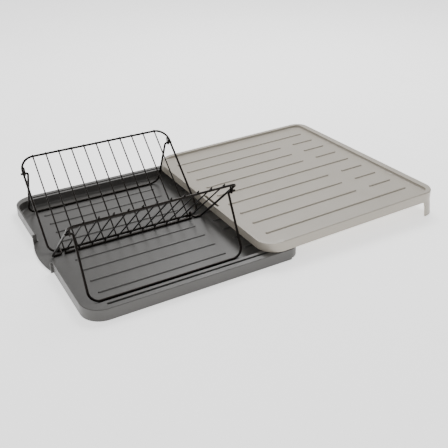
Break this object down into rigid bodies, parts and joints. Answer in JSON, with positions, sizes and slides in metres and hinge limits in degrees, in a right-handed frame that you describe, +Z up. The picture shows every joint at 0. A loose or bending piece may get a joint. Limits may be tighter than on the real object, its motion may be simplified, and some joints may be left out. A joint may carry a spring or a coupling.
{
  "type": "dish drying rack",
  "caption": "Extendable dish drying rack: folding V-shaped wire plate rack in a low spouted drip tray, with a ribbed draining tray that slides along the drip tray's rims.",
  "frame": {"origin": "middle of the whole footprint, on the surface the rack stands on", "axes": "+X along the long side towards the draining tray's legs, +Y towards the back panel, +Z up"},
  "size_m": [0.704, 0.4372, 0.1359],
  "materials": {
    "dark_plastic": "fine matte texture",
    "light_plastic": "fine matte texture",
    "coated_wire": "satin powder coat"
  },
  "bodies": {
    "lower_tray": {"lower_tray": "dark_plastic"},
    "upper_tray": {"upper_tray": "light_plastic"},
    "back_panel": {"back_frame": "coated_wire", "back_eyelet_left": "coated_wire", "back_eyelet_right": "coated_wire", "back_wire_01": "coated_wire", "back_wire_02": "coated_wire", "back_wire_03": "coated_wire", "back_wire_04": "coated_wire", "back_wire_05": "coated_wire", "back_wire_06": "coated_wire", "back_wire_07": "coated_wire", "back_wire_08": "coated_wire", "back_wire_09": "coated_wire", "back_wire_10": "coated_wire", "back_wire_11": "coated_wire"},
    "front_panel": {"front_frame": "coated_wire", "front_crossbar": "coated_wire", "front_eyelet_left": "coated_wire", "front_eyelet_right": "coated_wire", "front_wire_01": "coated_wire", "front_wire_02": "coated_wire", "front_wire_03": "coated_wire", "front_wire_04": "coated_wire", "front_wire_05": "coated_wire", "front_wire_06": "coated_wire", "front_wire_07": "coated_wire", "front_wire_08": "coated_wire", "front_wire_09": "coated_wire", "front_wire_10": "coated_wire", "front_wire_11": "coated_wire"},
    "back_leg": {"back_leg": "coated_wire"},
    "front_leg": {"front_leg": "coated_wire"}
  },
  "joints": [
    {"name": "upper_tray_slide", "type": "slide", "parent": "lower_tray", "child": "upper_tray", "axis": [1, 0, 0], "range_m": [-0.005, 0.075]},
    {"name": "rack_lift", "type": "slide", "parent": "lower_tray", "child": "back_panel", "axis": [0, 0, 1], "range_m": [0, 0.15]},
    {"name": "panel_fold", "type": "hinge", "parent": "back_panel", "child": "front_panel", "pos_m": [-0.184, 0.00478, 0.00638], "axis": [-1, 0, 0], "range_deg": [0, 90.51]},
    {"name": "back_leg_fold", "type": "hinge", "parent": "back_panel", "child": "back_leg", "pos_m": [-0.184, 0.12169, 0.10975], "axis": [-1, 0, 0], "range_deg": [0, 71.01]},
    {"name": "front_leg_fold", "type": "hinge", "parent": "front_panel", "child": "front_leg", "pos_m": [-0.184, -0.12306, 0.10554], "axis": [1, 0, 0], "range_deg": [0, 73.01]}
  ],
  "couplings": [
    {"joint": "panel_fold", "follows": "rack_lift", "rad_per_m": 10.53},
    {"joint": "back_leg_fold", "follows": "rack_lift", "rad_per_m": 8.2612},
    {"joint": "front_leg_fold", "follows": "rack_lift", "rad_per_m": 8.4939}
  ]
}
